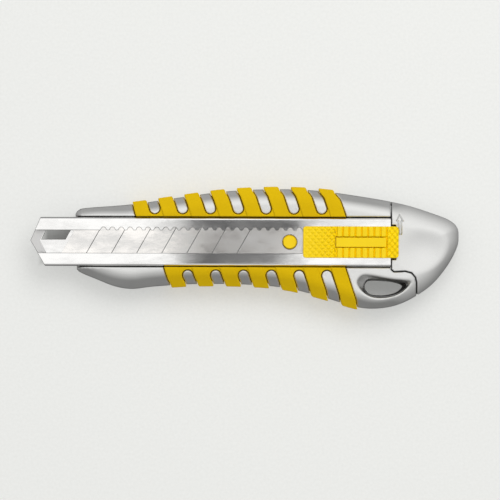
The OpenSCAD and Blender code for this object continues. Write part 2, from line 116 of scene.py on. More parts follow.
# Grips: how the fingers lean, the slots and the wider lanes between the raised fingers, and the
# seat in the metal with the dark seam around the rubber
LEAN = math.tan(math.radians(18.4))
WINDOW_W = 4.2
LANE_W = 4.9
PITCH = 11.1
RECESS = 1.05
SEAM = 0.26
SPINE_AREA = [(-43.5, 12.35), (-47.9, 27), (35.6, 27), (40.7, 12.35)]
BELLY_AREA = [(-32.5, -7.35), (-26.2, -27), (46.7, -27), (40.3, -7.35)]
SPINE_WINDOWS = [(-35.9 + PITCH * k, 15.8) for k in range(7)]
BELLY_WINDOWS = [(-22.6 + PITCH * k, -10.9) for k in range(6)]

# Fasteners
SCREWS = [(-57, 2.5), (-38, -11.3), (28, -12.6), (50, 15.4)]
RIVETS = [-50, 0, 44]
PIN_X = 18

# Mesh sizes
CAST_CELL, GRIP_CELL, CAP_CELL, PAD_CELL = 0.42, 0.3, 0.22, 0.15


# ---- Distance fields ---------------------------------------------------------------------
# A field is a function of x, y and z arrays in millimetres that is below 0 inside the shape
# and close to the distance from its surface.


def smooth_points(points, steps=6):
    """A closed Catmull-Rom curve through the points."""
    p = np.array(points, float)
    a, b, c, d = np.roll(p, 1, 0), p, np.roll(p, -1, 0), np.roll(p, -2, 0)
    out = []
    for t in np.arange(steps) / steps:
        out.append(
            0.5 * (2 * b + (c - a) * t + (2 * a - 5 * b + 4 * c - d) * t**2
                   + (3 * b - a - 3 * c + d) * t**3)
        )
    return np.stack(out, 1).reshape(-1, 2)


def polygon(points):
    """Signed distance to a closed polygon in the XY plane."""
    p = np.array(points, np.float32)
    q = np.roll(p, -1, 0)
    last = [None, None, None]

    def field(x, y):
        if last[0] is x and last[1] is y:
            return last[2]
        best = np.full(np.broadcast(x, y).shape, 1e9, np.float32)
        inside = np.zeros(best.shape, bool)
        for (ax, ay), (bx, by) in zip(p, q):
            ex, ey = bx - ax, by - ay
            wx, wy = x - ax, y - ay
            t = np.clip((wx * ex + wy * ey) / (ex * ex + ey * ey), 0, 1)
            best = np.minimum(best, (wx - ex * t) ** 2 + (wy - ey * t) ** 2)
            if ay != by:
                cross = ((ay > y) != (by > y)) & (wx < ex * wy / ey)
                inside ^= cross
        last[:] = x, y, np.where(inside, -1, 1) * np.sqrt(best)
        return last[2]

    return field


def both(a, b, k=0.0):
    """Intersection, with a round of about k along the edge."""
    if np.ndim(k) == 0 and k <= 0:
        return np.maximum(a, b)
    h = np.clip(0.5 - 0.5 * (b - a) / k, 0, 1)
    return b + (a - b) * h + k * h * (1 - h)


def either(a, b, k=0.0):
    """Union, with a fillet of about k."""
    return -both(-a, -b, k)


def without(a, b, k=0.0):
    """What is left of a outside b."""
    return both(a, -b, k)


def block(x, y, z, low, high, r):
    """Box with round edges."""
    q = [
        np.abs(v - (lo + hi) / 2) - (hi - lo) / 2 + r
        for v, lo, hi in zip((x, y, z), low, high)
    ]
    outside = np.sqrt(sum(np.maximum(v, 0) ** 2 for v in q))
    return outside + np.minimum(np.maximum(np.maximum(q[0], q[1]), q[2]), 0) - r


def capsule(x, y, a, b, r):
    """Distance to a line from a to b, thickened by r."""
    ex, ey = b[0] - a[0], b[1] - a[1]
    wx, wy = x - a[0], y - a[1]
    t = np.clip((wx * ex + wy * ey) / (ex * ex + ey * ey), 0, 1)
    return np.hypot(wx - ex * t, wy - ey * t) - r


OUTLINE = polygon(smooth_points(SPINE_LINE + BELLY_LINE + NOSE_LINE))
CAP_AREA = polygon(CAP_LINE)
SPINE_GRIP = polygon(SPINE_AREA)
BELLY_GRIP = polygon(BELLY_AREA)


def blend(t):
    """A smooth step from 0 to 1."""
    t = np.clip(t, 0, 1)
    return t * t * (3 - 2 * t)


def skin(x, y, z):
    """The handle's outer skin, with its sloping long edges.

    The belly's slope turns into the spine's across the width. It narrows towards the nose, and
    the belly's gets smaller towards the rear.
    """
    across = OUTLINE(x, y)
    up = np.abs(z - MID_Z) - HALF_T
    spine = blend((y + 8) / 14)
    narrow = 1 - 0.2 * blend((-45 - x) / 15)
    rear = blend((x - 40) / 14)
    wide = (BELLY_SLOPE[0] - 1.5 * rear) * (1 - spine) + SPINE_SLOPE[0] * spine
    deep = (BELLY_SLOPE[1] - 0.8 * rear) * (1 - spine) + SPINE_SLOPE[1] * spine
    wide, deep = wide * narrow, deep * narrow
    slope = (across * deep + up * wide + wide * deep) / np.hypot(wide, deep)
    soft = SLOPE_TOP_R + (CAP_TOP_R - SLOPE_TOP_R) * blend((x - 57) / 8)
    return both(both(slope, up, soft), across, SIDE_R)


def swept(x, y, side):
    """x for the pattern of the fingers, which lean further as they wrap around the edge."""
    more = 0.6 + 0.018 * x if side > 0 else 0.1 - 0.012 * x
    return x + side * more * blend(1 + OUTLINE(x, y) / 3)


# How far a slot runs in y from where it starts
REACH = 20


def windows(x, y, places, side, width, both_ways=False):
    """The slots between the fingers: each starts round and runs out past the long edge."""
    found = None
    for px, py in places:
        far = (px - side * LEAN * REACH, py + side * REACH)
        near = (2 * px - far[0], 2 * py - far[1]) if both_ways else (px, py)
        d = capsule(x, y, near, far, width / 2)
        found = d if found is None else np.minimum(found, d)
    return found


def grip_area(x, y, side, width, both_ways=False):
    """The plan of one grip, without its windows (or lanes) of that width."""
    u = swept(x, y, side)
    area = (SPINE_GRIP if side > 0 else BELLY_GRIP)(u, y)
    places = SPINE_WINDOWS if side > 0 else BELLY_WINDOWS
    return without(area, windows(u, y, places, side, width, both_ways), 0.3)


EYE_RECESS = polygon(smooth_points([
    (44.9, -13.7), (45.7, -11.7), (47.8, -10.5), (52, -10.9), (58, -12), (63, -12.5),
    (65.8, -12.9), (66.3, -13.9), (64.6, -16), (62.1, -17.9), (59.2, -19.1), (55.4, -19.8),
    (51.6, -19.6), (48.5, -18.3), (46.2, -16.2)]))
EYE_THROAT = polygon(smooth_points([
    (47.9, -15.2), (48.4, -13.5), (50.2, -12.6), (56, -13), (61, -13.6), (64.1, -13.9),
    (64.6, -14.7), (63.2, -16.5), (60.4, -18.2), (56, -19), (51.5, -18.8), (48.8, -17.3)]))
EYE_HOLE = polygon(smooth_points([
    (48.3, -15.3), (48.9, -13.8), (50.3, -13.1), (54.4, -13.1), (58.3, -13.4), (61.2, -14.2),
    (62.3, -15.3), (60.7, -17), (58.3, -18), (55.4, -18.5), (52.5, -18.5), (50.3, -18.1),
    (48.9, -16.9)]))


# ---- From a field to a mesh --------------------------------------------------------------


def surface_net(field, low, high, cell):
    """A mesh of quads on the field's zero surface, one vertex in each cell that it crosses."""
    low, high = np.array(low, float) - 2 * cell, np.array(high, float) + 2 * cell
    counts = np.ceil((high - low) / cell).astype(int) + 1
    ax = [low[i] + cell * np.arange(counts[i]) for i in range(3)]
    gx, gy, gz = np.meshgrid(*[a.astype(np.float32) for a in ax], indexing="ij", sparse=True)
    f = np.broadcast_to(field(gx, gy, gz), counts).astype(np.float32)
    inside = f < 0
    corners_in = np.zeros(counts - 1, np.int8)
    for i in (0, 1):
        for j in (0, 1):
            for k in (0, 1):
                corners_in += inside[
                    i:counts[0] - 1 + i, j:counts[1] - 1 + j, k:counts[2] - 1 + k]
    mixed = (corners_in > 0) & (corners_in < 8)
    cells = np.argwhere(mixed)
    index = np.full(mixed.shape, -1, np.int32)
    index[mixed] = np.arange(len(cells))
    total = np.zeros((len(cells), 3))
    hits = np.zeros(len(cells))
    edges = [
        (np.array(a), axis)
        for axis in range(3)
        for a in [(i, j, k) for i in (0, 1) for j in (0, 1) for k in (0, 1)]
        if a[axis] == 0
    ]
    for start, axis in edges:
        end = start.copy()
        end[axis] = 1
        fa = f[tuple((cells + start).T)]
        fb = f[tuple((cells + end).T)]
        cut = (fa < 0) != (fb < 0)
        t = np.where(cut, fa / np.where(cut, fa - fb, 1), 0)
        point = start[None] + np.zeros((len(cells), 3))
        point[:, axis] += t
        total += point * cut[:, None]
        hits += cut
    vertices = low + (cells + total / hits[:, None]) * cell
    faces = []
    for axis in range(3):
        b, c = (axis + 1) % 3, (axis + 2) % 3
        here = [slice(1, n - 1) for n in counts]
        there = list(here)
        here[axis] = slice(0, counts[axis] - 1)
        there[axis] = slice(1, counts[axis])
        a_in, b_in = inside[tuple(here)], inside[tuple(there)]
        at = np.argwhere(a_in != b_in)
        flip = b_in[tuple(at.T)]
        at[:, b] += 1
        at[:, c] += 1
        quad = []
        for ob, oc in ((-1, -1), (0, -1), (0, 0), (-1, 0)):
            cell_at = at.copy()
            cell_at[:, b] += ob
            cell_at[:, c] += oc
            quad.append(index[tuple(cell_at.T)])
        quad = np.stack(quad, 1)
        quad[flip] = quad[flip][:, ::-1]
        faces.append(quad)
    return vertices, np.concatenate(faces)


SETTLE_ROUNDS = 2


def settle(field, points, cell):
    """Moves points onto the field's zero surface along its gradient, half a cell at most."""
    eps = cell * 0.1
    for _ in range(SETTLE_ROUNDS):
        x, y, z = (points[:, i].astype(np.float32) for i in range(3))
        d = field(x, y, z)
        g = np.stack([
            field(x, y, z + eps) - field(x, y, z - eps),
            field(x + eps, y, z) - field(x - eps, y, z),
            field(x, y + eps, z) - field(x, y - eps, z),
        ], 1)[:, [1, 2, 0]] / (2 * eps)
        size = np.maximum((g * g).sum(1), 0.25)
        move = -(d / size)[:, None] * g
        length = np.linalg.norm(move, axis=1, keepdims=True)
        points = points + move * np.minimum(1, 0.5 * cell / np.maximum(length, 1e-9))
    return points


def new_mesh(name, vertices, faces, smooth=True):
    """An object made of quads."""
    mesh = bpy.data.meshes.new(name)
    v, f = np.asarray(vertices, np.float32), np.asarray(faces, np.int32)
    mesh.vertices.add(len(v))
    mesh.vertices.foreach_set("co", v.ravel())
    mesh.loops.add(f.size)
    mesh.loops.foreach_set("vertex_index", f.ravel())
    mesh.polygons.add(len(f))
    mesh.polygons.foreach_set("loop_start", np.arange(len(f), dtype=np.int32) * f.shape[1])
    mesh.update(calc_edges=True)
    mesh.validate()
    if smooth:
        mesh.shade_smooth()
    ob = bpy.data.objects.new(name, mesh)
    bpy.context.scene.collection.objects.link(ob)
    return ob


def carve(name, field, low, high, cell, *materials):
    """A new piece on the field's zero surface."""
    vertices, faces = surface_net(field, low, high, cell)
    vertices = settle(field, vertices, cell)
    ob = new_mesh(name, vertices * MM, faces)
    for material in materials:
        ob.data.materials.append(material)
    return ob


def turned(ob):
    """Mirrors a piece that was made in the front's place to the back of the handle."""
    co = np.empty(len(ob.data.vertices) * 3, np.float32)
    ob.data.vertices.foreach_get("co", co)
    co = co.reshape(-1, 3)
    co[:, 2] = 2 * MID_Z * MM - co[:, 2]
    ob.data.vertices.foreach_set("co", co.ravel())
    ob.data.flip_normals()
    ob.data.update()
    return ob


# Edges that count as sharp, in degrees: for shading, for shading the thin blades, for bevels
SHADE_ANGLE, BLADE_ANGLE, BEVEL_ANGLE = 30, 2, 25
SMOOTH_ANGLE = {"snap_off_blade": BLADE_ANGLE, "spare_blades": BLADE_ANGLE}
BEVEL_SEGMENTS = 2
# An edge closer than this to the channel's side or top lies on it
NEAR = 0.05


def fold_edges(x, y, z):
    """The two long folds where the channel's sides turn into its lips."""
    half_w = (channel_high[1] - channel_low[1]) / 2
    return (np.abs(y - AXIS_Y) > half_w - NEAR) & (z > channel_high[2] - NEAR)


def pin_edges(x, y, z):
    """The edge of the hole around the stud that holds the blade."""
    return np.hypot(x - PIN_X, y - AXIS_Y) < 3.2


# Pieces with two widths of bevel: the edges that get the wide one, and the narrow one's share
WIDE_EDGES = {"blade_channel": (fold_edges, 0.2), "snap_off_blade": (pin_edges, 0.08)}


def refined(node, name, bevel, material, edge):
    """A copy of a CAD node with its flat faces merged and its edges softly rounded; with an edge
    material, the rounded faces get it as painted shade.
    """
    ob = NODES[node].copy()
    ob.data = ob.data.copy()
    ob.name = ob.data.name = name
    for key in list(ob.keys()):
        if key.startswith("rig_"):
            del ob[key]
    ob.parent = None
    ob.hide_render = False
    bpy.context.scene.collection.objects.link(ob)
    ob.data.materials.clear()
    ob.data.materials.append(material)
    if edge:
        ob.data.materials.append(edge)
    bm = bmesh.new()
    bm.from_mesh(ob.data)
    bmesh.ops.remove_doubles(bm, verts=bm.verts, dist=1e-6)
    bmesh.ops.dissolve_limit(bm, angle_limit=math.radians(0.5), verts=bm.verts, edges=bm.edges)
    bm.to_mesh(ob.data)
    bm.free()
    ob.data.shade_smooth()
    ob.data.set_sharp_from_angle(angle=math.radians(SMOOTH_ANGLE.get(node, SHADE_ANGLE)))
    mod = ob.modifiers.new("edges", "BEVEL")
    mod.width = bevel * MM
    mod.segments = BEVEL_SEGMENTS
    # The bevel faces take the dark edge material: painted shade along the edges
    mod.material = 1 if edge else -1
    if node in WIDE_EDGES:
        weigh_edges(ob.data, *WIDE_EDGES[node])
        mod.limit_method = "WEIGHT"
    else:
        mod.limit_method = "ANGLE"
        mod.angle_limit = math.radians(BEVEL_ANGLE)
    mod.harden_normals = True
    mod.use_clamp_overlap = node not in WIDE_EDGES
    apply_modifiers(ob)
    return ob


def weigh_edges(mesh, wide, narrow):
    """Bevel weights: 1 on the wide edges, the narrow share on other sharp ones."""
    bm = bmesh.new()
    bm.from_mesh(mesh)
    layer = bm.edges.layers.float.get("bevel_weight_edge")
    layer = layer or bm.edges.layers.float.new("bevel_weight_edge")
    for e in bm.edges:
        if e.calc_face_angle(0) > math.radians(BEVEL_ANGLE):
            x, y, z = (e.verts[0].co + e.verts[1].co) / 2 / MM
            both_ends = wide(x, y, z) and all(wide(*(v.co / MM)) for v in e.verts)
            e[layer] = 1 if both_ends else narrow
    bm.to_mesh(mesh)
    bm.free()


def apply_modifiers(ob):
    """Swaps a piece's mesh for the one that its modifiers make."""
    bpy.context.view_layer.update()
    graph = bpy.context.evaluated_depsgraph_get()
    mesh = bpy.data.meshes.new_from_object(ob.evaluated_get(graph))
    ob.modifiers.clear()
    ob.data = mesh
    mesh.name = ob.name


# ---- Materials ---------------------------------------------------------------------------


class Nodes:
    """Small helper to write a node tree line by line."""

    def __init__(self, name):
        self.material = bpy.data.materials.new(name)
        self.material.use_nodes = True
        self.tree = self.material.node_tree
        self.tree.nodes.clear()
        self.out = self.add("ShaderNodeOutputMaterial")
        self.shader = self.add("ShaderNodeBsdfPrincipled")
        self.link(self.shader, "BSDF", self.out, "Surface")
        self.place = self.add("ShaderNodeTexCoord")

    def add(self, kind, **settings):
        n = self.tree.nodes.new(kind)
        for key, value in settings.items():
            setattr(n, key, value)
        return n

    def link(self, a, out, b, into):
        self.tree.links.new(a.outputs[out], b.inputs[into])

    def set(self, **values):
        for key, value in values.items():
            self.shader.inputs[key.replace("_", " ")].default_value = value

    def noise(self, scale, detail=4, rough=0.55, stretch=(1, 1, 1)):
        mapping = self.add("ShaderNodeMapping")
        mapping.inputs["Scale"].default_value = stretch
        self.link(self.place, "Object", mapping, "Vector")
        n = self.add("ShaderNodeTexNoise")
        n.inputs["Scale"].default_value = scale
        n.inputs["Detail"].default_value = detail
        n.inputs["Roughness"].default_value = rough
        self.link(mapping, "Vector", n, "Vector")
        return n

    def ramp(self, source, out, stops):
        r = self.add("ShaderNodeValToRGB")
        ramp = r.color_ramp
        while len(ramp.elements) < len(stops):
            ramp.elements.new(0.5)
        for e, (at, value) in zip(ramp.elements, stops):
            e.position = at
            e.color = (*value, 1) if len(np.shape(value)) else (value, value, value, 1)
        self.link(source, out, r, "Fac")
        return r

    def mix(self, a, b, factor=0.5, kind="MIX"):
        m = self.add("ShaderNodeMix", data_type="RGBA", blend_type=kind)
        for socket, value in ((6, a), (7, b)):
            if isinstance(value, tuple):
                m.inputs[socket].default_value = (*value, 1)
            else:
                self.tree.links.new(value, m.inputs[socket])
        if isinstance(factor, (int, float)):
            m.inputs[0].default_value = factor
        else:
            self.tree.links.new(factor, m.inputs[0])
        return m.outputs[2]

    def math(self, operation, *values):
        n = self.add("ShaderNodeMath", operation=operation)
        for socket, value in zip(n.inputs, values):
            if isinstance(value, float):
                socket.default_value = value
            else:
                self.tree.links.new(value, socket)
        return n.outputs[0]

    def bump(self, height, strength, distance, below=None):
        b = self.add("ShaderNodeBump")
        b.inputs["Strength"].default_value = strength
        b.inputs["Distance"].default_value = distance
        self.tree.links.new(height, b.inputs["Height"])
        if below is not None:
            self.link(below, "Normal", b, "Normal")
        return b


def grey(value, warm=0.985):
    """A grey with a little less green and blue, so that it is slightly warm."""
    return value, value * (1 + warm) / 2, value * warm


def cast_metal():
    """Satin die-cast metal: fine grain, faint cloudiness and small handling marks."""
    m = Nodes("cast_metal")
    m.set(Metallic=1.0)
    cloud = m.noise(60, 5)
    grain = m.noise(5200, 3, 0.6)
    tone = m.ramp(cloud, "Fac", [(0.3, (0.81, 0.81, 0.80)), (0.7, (0.87, 0.87, 0.86))])
    speck = m.ramp(grain, "Fac", [(0.35, 0.93), (0.6, 1.0)])
    m.tree.links.new(
        m.mix(tone.outputs["Color"], speck.outputs["Color"], 1.0, "MULTIPLY"),
        m.shader.inputs["Base Color"])
    rough = m.ramp(cloud, "Fac", [(0.25, 0.30), (0.75, 0.38)])
    m.link(rough, "Color", m.shader, "Roughness")
    fine = m.bump(grain.outputs["Fac"], 0.2, 0.00002)
    m.link(fine, "Normal", m.shader, "Normal")
    return m.material


def rubber():
    """Moulded thermoplastic rubber: matt, very fine texture, a little dirt in the tone."""
    m = Nodes("grip_rubber")
    m.set(IOR=1.45, Specular_IOR_Level=0.18)
    cloud = m.noise(45, 5)
    grain = m.noise(2600, 3, 0.6)
    tone = m.ramp(cloud, "Fac", [(0.3, (0.72, 0.465, 0.001)), (0.7, (0.78, 0.515, 0.001))])
    speck = m.ramp(grain, "Fac", [(0.3, 0.94), (0.65, 1.0)])
    m.tree.links.new(
        m.mix(tone.outputs["Color"], speck.outputs["Color"], 1.0, "MULTIPLY"),
        m.shader.inputs["Base Color"])
    rough = m.ramp(grain, "Fac", [(0.3, 0.85), (0.7, 0.72)])
    m.link(rough, "Color", m.shader, "Roughness")
    fine = m.bump(grain.outputs["Fac"], 0.3, 0.00003)
    m.link(fine, "Normal", m.shader, "Normal")
    return m.material


def slider_plastic():
    """Bright yellow moulded plastic, semi-gloss."""
    m = Nodes("slider_plastic")
    m.set(IOR=1.49, Specular_IOR_Level=0.3)
    cloud = m.noise(80, 4)
    grain = m.noise(3000, 2, 0.5)
    tone = m.ramp(cloud, "Fac", [(0.3, (0.95, 0.66, 0.001)), (0.7, (0.99, 0.71, 0.002))])
    m.link(tone, "Color", m.shader, "Base Color")
    rough = m.ramp(grain, "Fac", [(0.3, 0.36), (0.7, 0.28)])
    m.link(rough, "Color", m.shader, "Roughness")
    fine = m.bump(grain.outputs["Fac"], 0.12, 0.00002)
    m.link(fine, "Normal", m.shader, "Normal")
    return m.material


def rolled_steel(name, tones, roughs, scratch=0.15, frosted=None):
    """Bright sheet steel: rolling lines along its length, smudges and a few fine scratches."""
    m = Nodes(name)
    m.set(Metallic=1.0)
    smudge = m.noise(110, 6, 0.65, (0.5, 1.2, 1))
    lines = m.noise(900, 3, 0.7, (0.02, 1, 1))
    hairs = m.noise(500, 2, 0.5, (0.05, 2.5, 1))
    tone = m.ramp(smudge, "Fac", [(0.38, tones[0]), (0.56, tones[1])]).outputs["Color"]
    rough = m.ramp(smudge, "Fac", [(0.3, roughs[1]), (0.62, roughs[0])]).outputs["Color"]
    if frosted:
        band = frosted(m)
        tone = m.mix(tone, grey(0.8), band)
        rough = m.mix(rough, (0.5, 0.5, 0.5), band)
    m.tree.links.new(tone, m.shader.inputs["Base Color"])
    m.tree.links.new(rough, m.shader.inputs["Roughness"])
    first = m.bump(lines.outputs["Fac"], scratch, 0.00001)
    second = m.bump(hairs.outputs["Fac"], scratch * 0.6, 0.00001, first)
    m.link(second, "Normal", m.shader, "Normal")
    return m.material


def nose_band(m):
    """1 on the ground band along the chevron at the end of the channel's floor."""
    split = m.add("ShaderNodeSeparateXYZ")
    m.link(m.place, "Object", split, "Vector")

    off = m.math("ABSOLUTE", m.math("SUBTRACT", split.outputs["Y"], 2.9 * MM))
    along = m.math("SUBTRACT", split.outputs["X"], channel_low[0] * MM)
    inwards = m.math("SUBTRACT", along, m.math("MULTIPLY", off, 0.52))
    near = m.math("LESS_THAN", inwards, 3.8 * MM)
    low = m.math("LESS_THAN", split.outputs["Z"], (channel_low[2] + 1) * MM)
    return m.math("MULTIPLY", near, low)


def raw_casting_shade():
    """The castings' unpolished insides, a near-black that also paints shade into the gaps, the
    eye and the cap's notch.
    """
    m = Nodes("raw_casting_shade")
    m.set(Metallic=0.6)
    grain = m.noise(2500, 3)
    tone = m.ramp(grain, "Fac", [(0.3, (0.05, 0.046, 0.042)), (0.7, (0.085, 0.08, 0.075))])
    m.link(tone, "Color", m.shader, "Base Color")
    rough = m.ramp(grain, "Fac", [(0.3, 0.75), (0.7, 0.6)])
    m.link(rough, "Color", m.shader, "Roughness")
    return m.material


def dark_nylon():
    """Black moulded nylon, matt."""
    m = Nodes("black_nylon")
    grain = m.noise(2500, 3)
    tone = m.ramp(grain, "Fac", [(0.3, (0.018, 0.018, 0.02)), (0.7, (0.03, 0.03, 0.033))])
    m.link(tone, "Color", m.shader, "Base Color")
    rough = m.ramp(grain, "Fac", [(0.3, 0.6), (0.7, 0.5)])
    m.link(rough, "Color", m.shader, "Roughness")
    fine = m.bump(grain.outputs["Fac"], 0.3, 0.00003)
    m.link(fine, "Normal", m.shader, "Normal")
    return m.material


CAST = cast_metal()
RAW_AND_SHADE = raw_casting_shade()
RUBBER = rubber()
PLASTIC = slider_plastic()
CHANNEL_STEEL = rolled_steel(
    "channel_steel", (grey(0.82), grey(0.96)), (0.06, 0.16), 0.35, nose_band)
BLADE_STEEL = rolled_steel("blade_steel", (grey(0.78, 0.97), grey(0.99, 0.94)), (0.13, 0.24))
# Dark steel that paints shade in the blade's score grooves, on its bevelled edges and round its
# pin hole
SCORE_SHADE_STEEL = rolled_steel("score_shade_steel", (grey(0.15), grey(0.3)), (0.4, 0.6))
# Near-black steel that paints shade on the channel's rounded folds and lip edges
EDGE_SHADE_STEEL = rolled_steel("edge_shade_steel", (grey(0.16), grey(0.34)), (0.25, 0.4))
SPRING_STEEL = rolled_steel("spring_steel", (grey(0.3), grey(0.5)), (0.2, 0.32))
SCREW_STEEL = rolled_steel("screw_steel", (grey(0.34), grey(0.52)), (0.22, 0.35))
NYLON = dark_nylon()


def finish(ob, body, node):
    """Gives a piece its body and hides the CAD node that it stands for."""
    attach(ob, body)
    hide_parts(node)
    return ob


# ---- Castings ----------------------------------------------------------------------------


SCREW_SEAT = 2 * MID_Z - corners("shell_screws")[0][2] - 1.4
TRAY_BACK = 2 * MID_Z - corners("magazine_tray")[0][2]


# How deep below the skin a face may lie and still be polished, before the near-black material
# paints shade on it: in gaps, and in the eye
UNSHADED_GAP_DEPTH, UNSHADED_EYE_DEPTH = 0.9, 3.3
# Where the cap's notch under the pad ends
NOTCH_END = 60.4
# How deep the eye's recess falls
EYE_DEPTH = 2.6
# The hollow's two ends, the screw bosses' radius and the rail that holds the cap
HOLLOW_FRONT, HOLLOW_REAR = -64, 56.3
BOSS_R = 2.3
RAIL_Y = (-5.5, 13.8)
RAIL_END = 63.2
# Half the width of the magazine's mouth, and the groove's play on each side of the channel
MOUTH_W = 11.4
SIDE_PLAY = 0.38


def paint_hollow_shade(ob):
    """Paints shade with the near-black unpolished material on the faces deep in gaps, in the eye
    and inside a casting, and on the cap's notch under the pad. The cap's dish and arrow stay
    polished.
    """
    count = len(ob.data.polygons)
    centre = np.empty(count * 3, np.float32)
    ob.data.polygons.foreach_get("center", centre)
    x, y, z = centre.reshape(-1, 3).T / MM
    in_eye = EYE_RECESS(x, y) < 0.3
    # Faces this deep get the near-black material: painted shade in gaps, in the eye and inside
    shade_faces = -skin(x, y, z) > np.where(in_eye, UNSHADED_EYE_DEPTH, UNSHADED_GAP_DEPTH)
    shade_faces &= ~((CAP_AREA(x, y) < 0) & (z > FACE_Z - 1.5))
    in_notch = (x > 58.8) & (x < NOTCH_END + 0.2) & (np.abs(y - AXIS_Y) < 7)
    shade_faces |= in_notch & (z > MID_Z) & (z < FACE_Z - 0.3)
    ob.data.polygons.foreach_set("material_index", shade_faces.astype(np.int32))
    ob.data.update()
    return ob


def cylinder(x, y, z, place, r):
    """An upright cylinder without ends."""
    return np.hypot(x - place[0], y - place[1]) - r + 0 * z


def shell(x, y, z, eye):
    """What both castings share: skin, seats for the rubber, cap's cut and lanyard eye."""
    body = skin(x, y, z)
    seats = -(body + RECESS + 0.05)
    for side in (1, -1):
        seat = both(grip_area(x, y, side, WINDOW_W), seats)
        body = without(body, seat, 0.25)
    body = without(body, CAP_AREA(x, y) - CAP_GAP, 0.2)
    body = both(body, MID_Z + 0.02 - z, 0.25)
    rim, throat = EYE_RECESS(x, y), eye(x, y, z)
    fall = np.clip(-rim / np.maximum(throat - rim, 0.3), 0, 1)
    dip = (FACE_Z - 0.1 - EYE_DEPTH * fall**0.8 - z) * 0.6
    body = without(body, both(rim, dip, 0.6), 0.8)
    return without(body, throat, 0.6)


def front_eye(x, y, z):
    """The eye goes straight down through the front casting."""
    return EYE_THROAT(x, y) + 0 * z


def back_eye(x, y, z):
    """The throat narrows on its way to the back."""
    t = np.clip((z - MID_Z) / (HALF_T - 0.8), 0, 1)
    return EYE_THROAT(x, y) * (1 - t) + EYE_HOLE(x, y) * t


def hollow(x, y, z):
    """Room inside a casting, around its screw bosses and the eye's wall."""
    room = both(skin(x, y, z) + WALL, np.maximum(HOLLOW_FRONT - x, x - HOLLOW_REAR))
    eye_wall = np.maximum(np.maximum(43 - x, y + 9), -30 - y) + 0 * z
    room = without(room, eye_wall, 0.3)
    for place in SCREWS:
        room = without(room, cylinder(x, y, z, place, BOSS_R), 0.3)
    return room


def open_end(body, x, y, z, mouth_h):
    """Opens the casting's rear end to the magazine and adds the rail that holds the cap."""
    mouth = block(
        x, y, z, (50, AXIS_Y - MOUTH_W, MID_Z - 1), (62, AXIS_Y + MOUTH_W, MID_Z + mouth_h), 0.2)
    body = without(body, mouth, 0.2)
    low, high = RAIL_Y
    plate = block(x, y, z, (56, low, MID_Z + 2.9), (RAIL_END, high, MID_Z + 4.3), 0.15)
    bead = block(x, y, z, (61.8, low, MID_Z + 2.9), (RAIL_END, high, MID_Z + 5.1), 0.2)
    return either(body, np.minimum(plate, bead), 0.1)


def front_shell(x, y, z):
    """The front casting, with the groove and the trough that carry the channel."""
    body = shell(x, y, z, front_eye)
    groove = block(
        x, y, z, (-90, channel_low[1] - SIDE_PLAY, channel_low[2] - 0.02),
        (70, channel_high[1] + SIDE_PLAY, 40), 0)
    body = without(body, groove, 0.35)
    trough = np.maximum(np.abs(y - AXIS_Y) - 11.8, channel_low[2] - 1.6 - z)
    body = without(body, without(hollow(x, y, z), trough, 0.3), 0.3)
    body = open_end(body, x, y, z, 1.9)
    for place in SCREWS:
        reach = channel_low[2] - 0.5 if place[0] < -50 else MID_Z + 5
        body = without(body, both(cylinder(x, y, z, place, 1.34), z - reach))
    for rivet_x in RIVETS:
        body = without(body, cylinder(x, y, z, (rivet_x, AXIS_Y), 1.22))
    return body


def back_shell(x, y, z):
    """The back casting as it would be in the front's place."""
    body = shell(x, y, z, back_eye)
    room = hollow(x, y, z)
    for rib_x in (-36, 4, 44):
        rib = np.maximum(np.abs(x - rib_x - 0.75) - 0.75, TRAY_BACK + 0.02 - z) + 0 * y
        room = without(room, rib, 0.2)
    body = without(body, room, 0.3)
    body = open_end(body, x, y, z, 2.7)
    for place in SCREWS:
        head = both(cylinder(x, y, z, place, 2.7), SCREW_SEAT - z)
        body = without(body, np.minimum(cylinder(x, y, z, place, 1.5), head), 0.15)
    return body


front = carve("front_casting", front_shell, shell_low, shell_high, CAST_CELL, CAST, RAW_AND_SHADE)
back = turned(carve("back_casting", back_shell, shell_low, shell_high, CAST_CELL, CAST, RAW_AND_SHADE))
# Both castings get painted shade deep in their gaps and in the eye
finish(paint_hollow_shade(front), "handle", "front_shell")
finish(paint_hollow_shade(back), "handle", "back_shell")


# ---- Grips -------------------------------------------------------------------------------


def grip(side, screw_hole=False):
    """The field of one grip: a thinner strip all over and the raised fingers on it."""

    def field(x, y, z):
        outer = skin(x, y, z)
        area = grip_area(x, y, side, WINDOW_W) + SEAM
        lanes = np.maximum(area, grip_area(x, y, side, LANE_W, both_ways=True))
        fingers = both(outer - PROUD, lanes, 0.45)
        strip = both(outer - PROUD * 0.5, area, 0.3)
        piece = either(fingers, strip, 0.2)
        piece = both(piece, -(outer + RECESS))
        if screw_hole:
            piece = without(piece, cylinder(x, y, z, SCREWS[2], 3.2), 0.3)
        return both(piece, MID_Z + 0.02 - z, 0.2)

    return field


for side, name in ((1, "spine"), (-1, "belly")):
    low, high = corners(f"front_{name}_grip")
    fields = {"front": grip(side), "back": grip(side, screw_hole=side < 0)}
    for face, field in fields.items():
        piece = carve(f"{face}_{name}_rubber", field, low, high, GRIP_CELL, RUBBER)
        piece = turned(piece) if face == "back" else piece
        finish(piece, "handle", f"{face}_{name}_grip")


# ---- Rear cap ----------------------------------------------------------------------------

ARROW = polygon([
    (0, 3.2), (1.5, 0.2), (0.75, 0.2), (0.75, -5.2), (-0.75, -5.2), (-0.75, 0.2), (-1.5, 0.2)])
ARROW_X, ARROW_Y = 61.9, 10.7
DISH_X, DISH_Y = 72.6, -0.6
DISH_R, DISH_DEPTH = 24, 1.1


